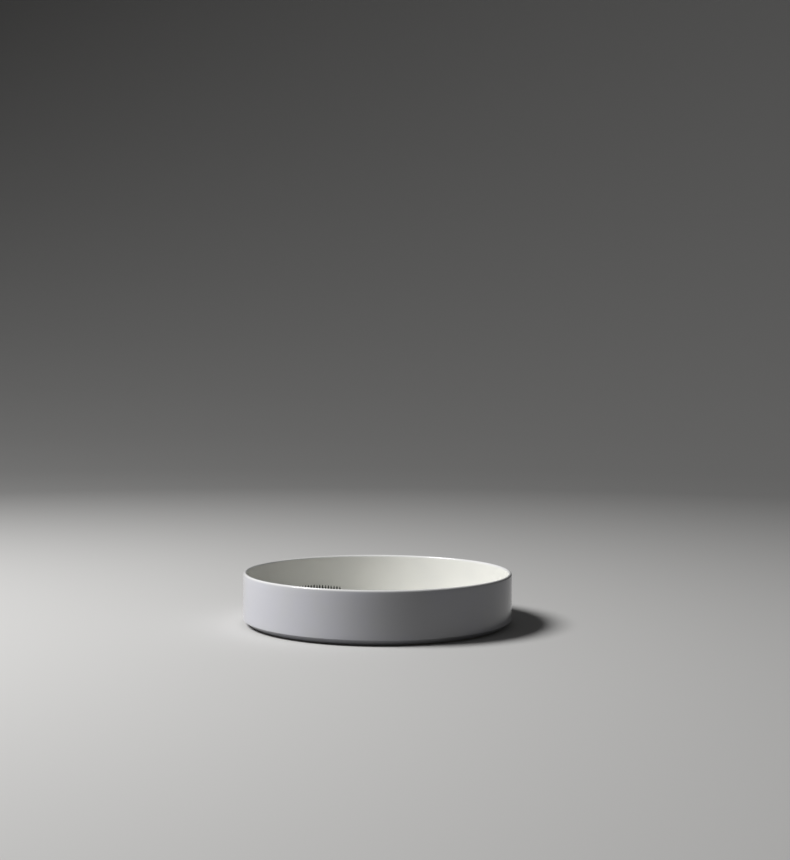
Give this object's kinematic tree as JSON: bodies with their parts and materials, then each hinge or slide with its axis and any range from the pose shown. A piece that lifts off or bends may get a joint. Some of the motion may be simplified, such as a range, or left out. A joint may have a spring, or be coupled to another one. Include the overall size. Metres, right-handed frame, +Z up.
{
  "type": "ikebana vase",
  "caption": "Wide, low round dish with a straight wall and a slanted foot, holding a loose kenzan: a weighted bed of upright needles in a rubber ring, for standing cut stems in shallow water.",
  "frame": {"origin": "centre of the dish's foot, on the surface that the dish stands on", "axes": "+Z up; -Y towards the viewer of the picture, +X to the viewer's right"},
  "size_m": [0.26, 0.26, 0.05],
  "materials": {
    "glaze": "gloss",
    "rubber": "matte",
    "cast_metal": "satin",
    "needle_metal": "satin"
  },
  "bodies": {
    "dish": {"dish": "glaze"},
    "kenzan": {"rubber_ring": "rubber", "kenzan_weight": "cast_metal", "needle_plate": "needle_metal"}
  },
  "joints": [
    {"name": "kenzan_lift", "type": "slide", "parent": "dish", "child": "kenzan", "axis": [0, 0, 1], "range_m": [0, 0.06]}
  ]
}
